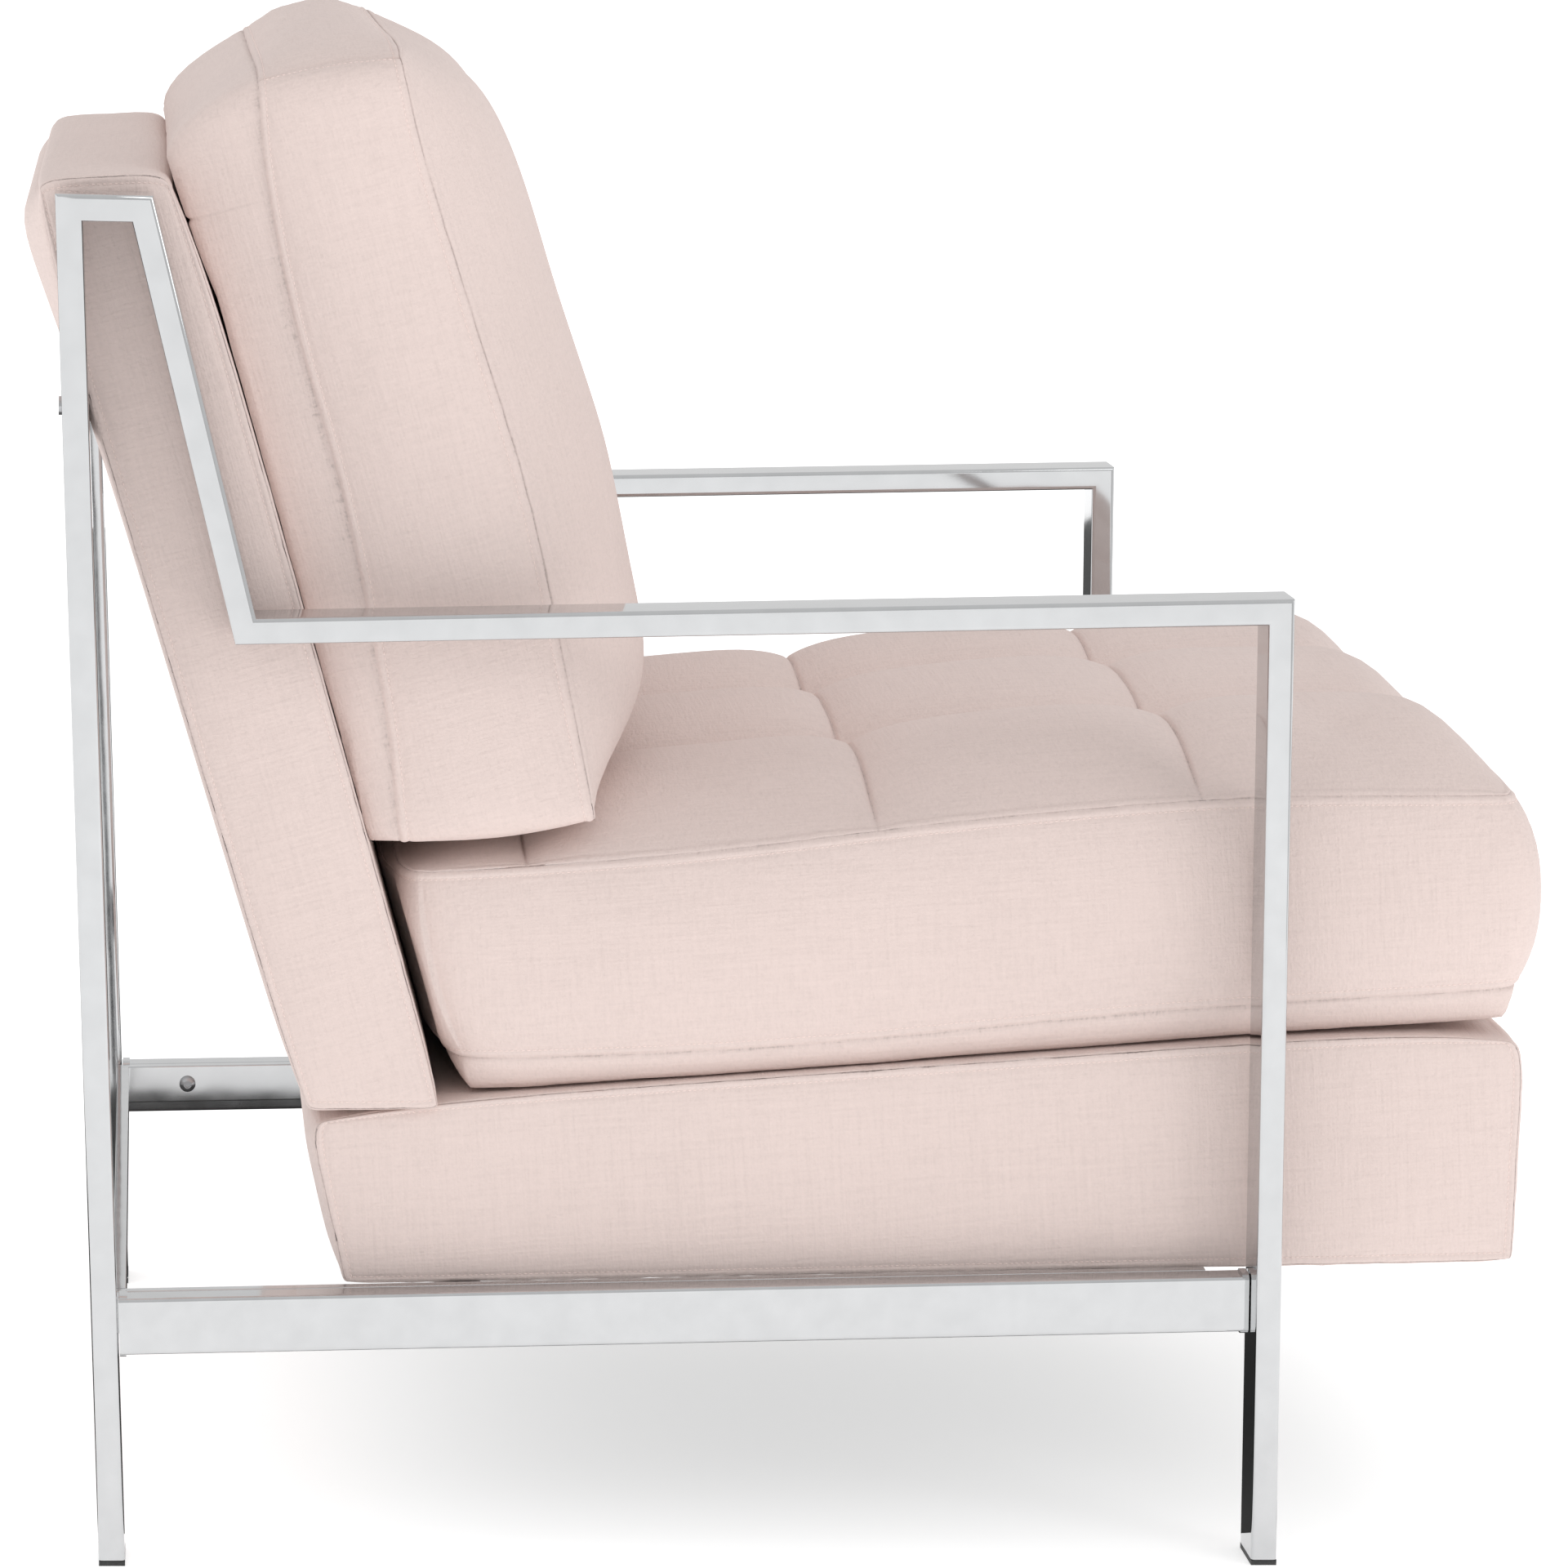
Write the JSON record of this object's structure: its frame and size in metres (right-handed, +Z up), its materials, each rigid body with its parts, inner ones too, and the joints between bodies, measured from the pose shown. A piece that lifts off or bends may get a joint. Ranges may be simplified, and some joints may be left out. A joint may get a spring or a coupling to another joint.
{
  "type": "lounge armchair",
  "caption": "Fixed lounge armchair with flat metal tube loop side frames, tufted seat cushion and loose back cushion on an upholstered seat box.",
  "frame": {"origin": "on the floor, in the middle of the chair's width and depth", "axes": "+X to the viewer's right when facing the front, the front faces -Y, +Z up"},
  "size_m": [0.704, 0.8378, 0.8469],
  "materials": {
    "chrome": "polished chrome plate, ground and plated over welded tube",
    "zinc": "bright zinc screws",
    "spring_steel": "oiled spring wire",
    "cap": "matt black moulded rubber",
    "linen": "blush pink slub linen weave with topstitched seams",
    "plywood": "raw plywood",
    "lining": "thin black non-woven dust cover",
    "webbing": "woven elastic strap"
  },
  "bodies": {
    "frame": {"arm_left": "chrome", "arm_right": "chrome", "back_board_bottom": "plywood", "back_board_middle": "plywood", "back_board_top": "plywood", "back_bolt_left": "zinc", "back_bolt_right": "zinc", "back_cover_front": "linen", "back_cover_left": "linen", "back_cover_rear": "linen", "back_cover_right": "linen", "back_cover_top": "linen", "back_cross_rail": "chrome", "back_sleeve_left": "chrome", "back_sleeve_right": "chrome", "back_stile_left": "plywood", "back_stile_right": "plywood", "back_strap_1": "webbing", "back_strap_2": "webbing", "box_bearer_1": "chrome", "box_bearer_2": "chrome", "box_board_front": "plywood", "box_board_left": "plywood", "box_board_rear": "plywood", "box_board_right": "plywood", "box_cover_front": "linen", "box_cover_left": "linen", "box_cover_rear": "linen", "box_cover_right": "linen", "box_deck": "linen", "box_lining": "lining", "box_strip_1": "cap", "box_strip_2": "cap", "brace_left": "chrome", "brace_right": "chrome", "front_cap_left": "cap", "front_cap_right": "cap", "front_leg_left": "chrome", "front_leg_right": "chrome", "rail_bolt_left_1": "zinc", "rail_bolt_left_2": "zinc", "rail_bolt_right_1": "zinc", "rail_bolt_right_2": "zinc", "rear_cap_left": "cap", "rear_cap_right": "cap", "rear_leg_left": "chrome", "rear_leg_right": "chrome", "seat_spring_1": "spring_steel", "seat_spring_2": "spring_steel", "seat_spring_3": "spring_steel", "side_rail_left": "chrome", "side_rail_right": "chrome", "subframe_bar_left": "chrome", "subframe_bar_right": "chrome", "subframe_cross_front": "chrome", "subframe_cross_rear": "chrome", "top_bar_left": "chrome", "top_bar_right": "chrome"},
    "seat_cushion": {"seat_cushion": "linen"},
    "back_cushion": {"back_cushion": "linen"}
  },
  "joints": [
    {"name": "seat_cushion_lift_out", "type": "slide", "parent": "frame", "child": "seat_cushion", "axis": [0, -0.9968, 0.0804], "range_m": [0, 0.2]},
    {"name": "back_cushion_lift_out", "type": "slide", "parent": "frame", "child": "back_cushion", "axis": [0, 0.279, 0.9603], "range_m": [0, 0.3]}
  ]
}
